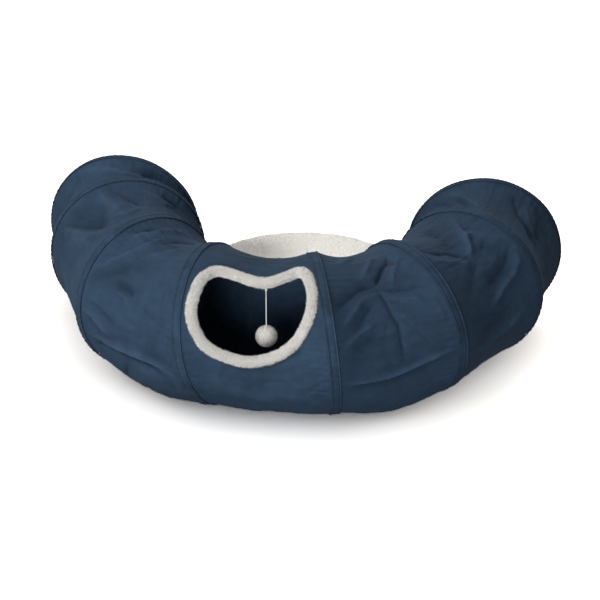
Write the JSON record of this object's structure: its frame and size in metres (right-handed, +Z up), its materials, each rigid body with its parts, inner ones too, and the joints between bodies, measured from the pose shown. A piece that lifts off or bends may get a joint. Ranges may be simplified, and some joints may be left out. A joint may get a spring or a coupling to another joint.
{
  "type": "cat tunnel",
  "caption": "Half-ring fabric cat tunnel on wire hoops, open at both ends, with a fleece-rimmed peephole, a hanging toy inside and a round plush mat between its legs.",
  "frame": {"origin": "centre of the mat's underside, on the floor", "axes": "+X along the width, to the right seen from the peephole's side; +Y to the open ends; +Z up"},
  "size_m": [0.914, 0.6656, 0.2705],
  "materials": {
    "navy_suede": "brushed suede-like polyester, matt",
    "navy_tape": "woven binding tape, matt",
    "fleece": "short curly fleece pile",
    "plush": "short dense plush pile",
    "filling": "polyester fibre filling",
    "non_slip": "fabric with a dotted non-slip coating",
    "spring_steel": "drawn wire",
    "white_elastic": "braided round elastic"
  },
  "bodies": {
    "centre": {"panel_centre": "navy_suede", "peephole_rim": "fleece", "hook_patch": "navy_tape", "toy_tab": "navy_tape"},
    "left_0": {"hoop_left_0": "spring_steel", "casing_left_0": "navy_tape", "panel_left_cuff": "navy_suede"},
    "left_1": {"hoop_left_1": "spring_steel", "casing_left_1": "navy_tape", "panel_left_outer": "navy_suede"},
    "left_2": {"hoop_left_2": "spring_steel", "casing_left_2": "navy_tape", "panel_left_inner": "navy_suede"},
    "left_3": {"hoop_left_3": "spring_steel", "casing_left_3": "navy_tape"},
    "right_3": {"hoop_right_3": "spring_steel", "casing_right_3": "navy_tape"},
    "right_2": {"hoop_right_2": "spring_steel", "casing_right_2": "navy_tape", "panel_right_inner": "navy_suede"},
    "right_1": {"hoop_right_1": "spring_steel", "casing_right_1": "navy_tape", "panel_right_outer": "navy_suede"},
    "right_0": {"hoop_right_0": "spring_steel", "casing_right_0": "navy_tape", "panel_right_cuff": "navy_suede"},
    "mat": {"mat_cover": "plush", "mat_filling": "filling", "mat_base": "non_slip", "mat_tab": "navy_tape"},
    "toy_loop": {"toy_loop": "white_elastic"},
    "toy": {"toy_knot": "white_elastic", "toy_string": "white_elastic", "toy_ball": "fleece"}
  },
  "joints": [
    {"name": "fold_left_3", "type": "hinge", "parent": "centre", "child": "left_3", "pos_m": [0, 0, 0], "axis": [0, 0, 1], "range_deg": [0, 8], "deforming": ["panel_centre", "peephole_rim"]},
    {"name": "fold_left_2", "type": "hinge", "parent": "left_3", "child": "left_2", "pos_m": [0, 0, 0], "axis": [0, 0, 1], "range_deg": [0, 19], "deforming": ["panel_left_inner"]},
    {"name": "fold_left_1", "type": "hinge", "parent": "left_2", "child": "left_1", "pos_m": [0, 0, 0], "axis": [0, 0, 1], "range_deg": [0, 18], "deforming": ["panel_left_outer"]},
    {"name": "fold_left_0", "type": "hinge", "parent": "left_1", "child": "left_0", "pos_m": [0, 0, 0], "axis": [0, 0, 1], "range_deg": [0, 6], "deforming": ["panel_left_cuff"]},
    {"name": "fold_right_3", "type": "hinge", "parent": "centre", "child": "right_3", "pos_m": [0, 0, 0], "axis": [0, 0, -1], "range_deg": [0, 8], "deforming": ["panel_centre", "peephole_rim"]},
    {"name": "fold_right_2", "type": "hinge", "parent": "right_3", "child": "right_2", "pos_m": [0, 0, 0], "axis": [0, 0, -1], "range_deg": [0, 19], "deforming": ["panel_right_inner"]},
    {"name": "fold_right_1", "type": "hinge", "parent": "right_2", "child": "right_1", "pos_m": [0, 0, 0], "axis": [0, 0, -1], "range_deg": [0, 16], "deforming": ["panel_right_outer"]},
    {"name": "fold_right_0", "type": "hinge", "parent": "right_1", "child": "right_0", "pos_m": [0, 0, 0], "axis": [0, 0, -1], "range_deg": [0, 12], "deforming": ["panel_right_cuff"]},
    {"name": "mat_slide", "type": "slide", "parent": "centre", "child": "mat", "axis": [0, 1, 0], "range_m": [0, 0.3]},
    {"name": "toy_sway", "type": "hinge", "parent": "centre", "child": "toy_loop", "pos_m": [-0.01534, -0.33582, 0.23683], "axis": [0, 1, 0], "range_deg": [-25, 25]},
    {"name": "toy_swing", "type": "hinge", "parent": "toy_loop", "child": "toy", "pos_m": [-0.01534, -0.33582, 0.22843], "axis": [1, 0, 0], "range_deg": [-30, 30]}
  ],
  "couplings": [
    {"joint": "fold_left_2", "follows": "fold_left_3", "ratio": 2.375},
    {"joint": "fold_left_1", "follows": "fold_left_3", "ratio": 2.25},
    {"joint": "fold_left_0", "follows": "fold_left_3", "ratio": 0.75},
    {"joint": "fold_right_2", "follows": "fold_right_3", "ratio": 2.375},
    {"joint": "fold_right_1", "follows": "fold_right_3", "ratio": 2},
    {"joint": "fold_right_0", "follows": "fold_right_3", "ratio": 1.5}
  ]
}
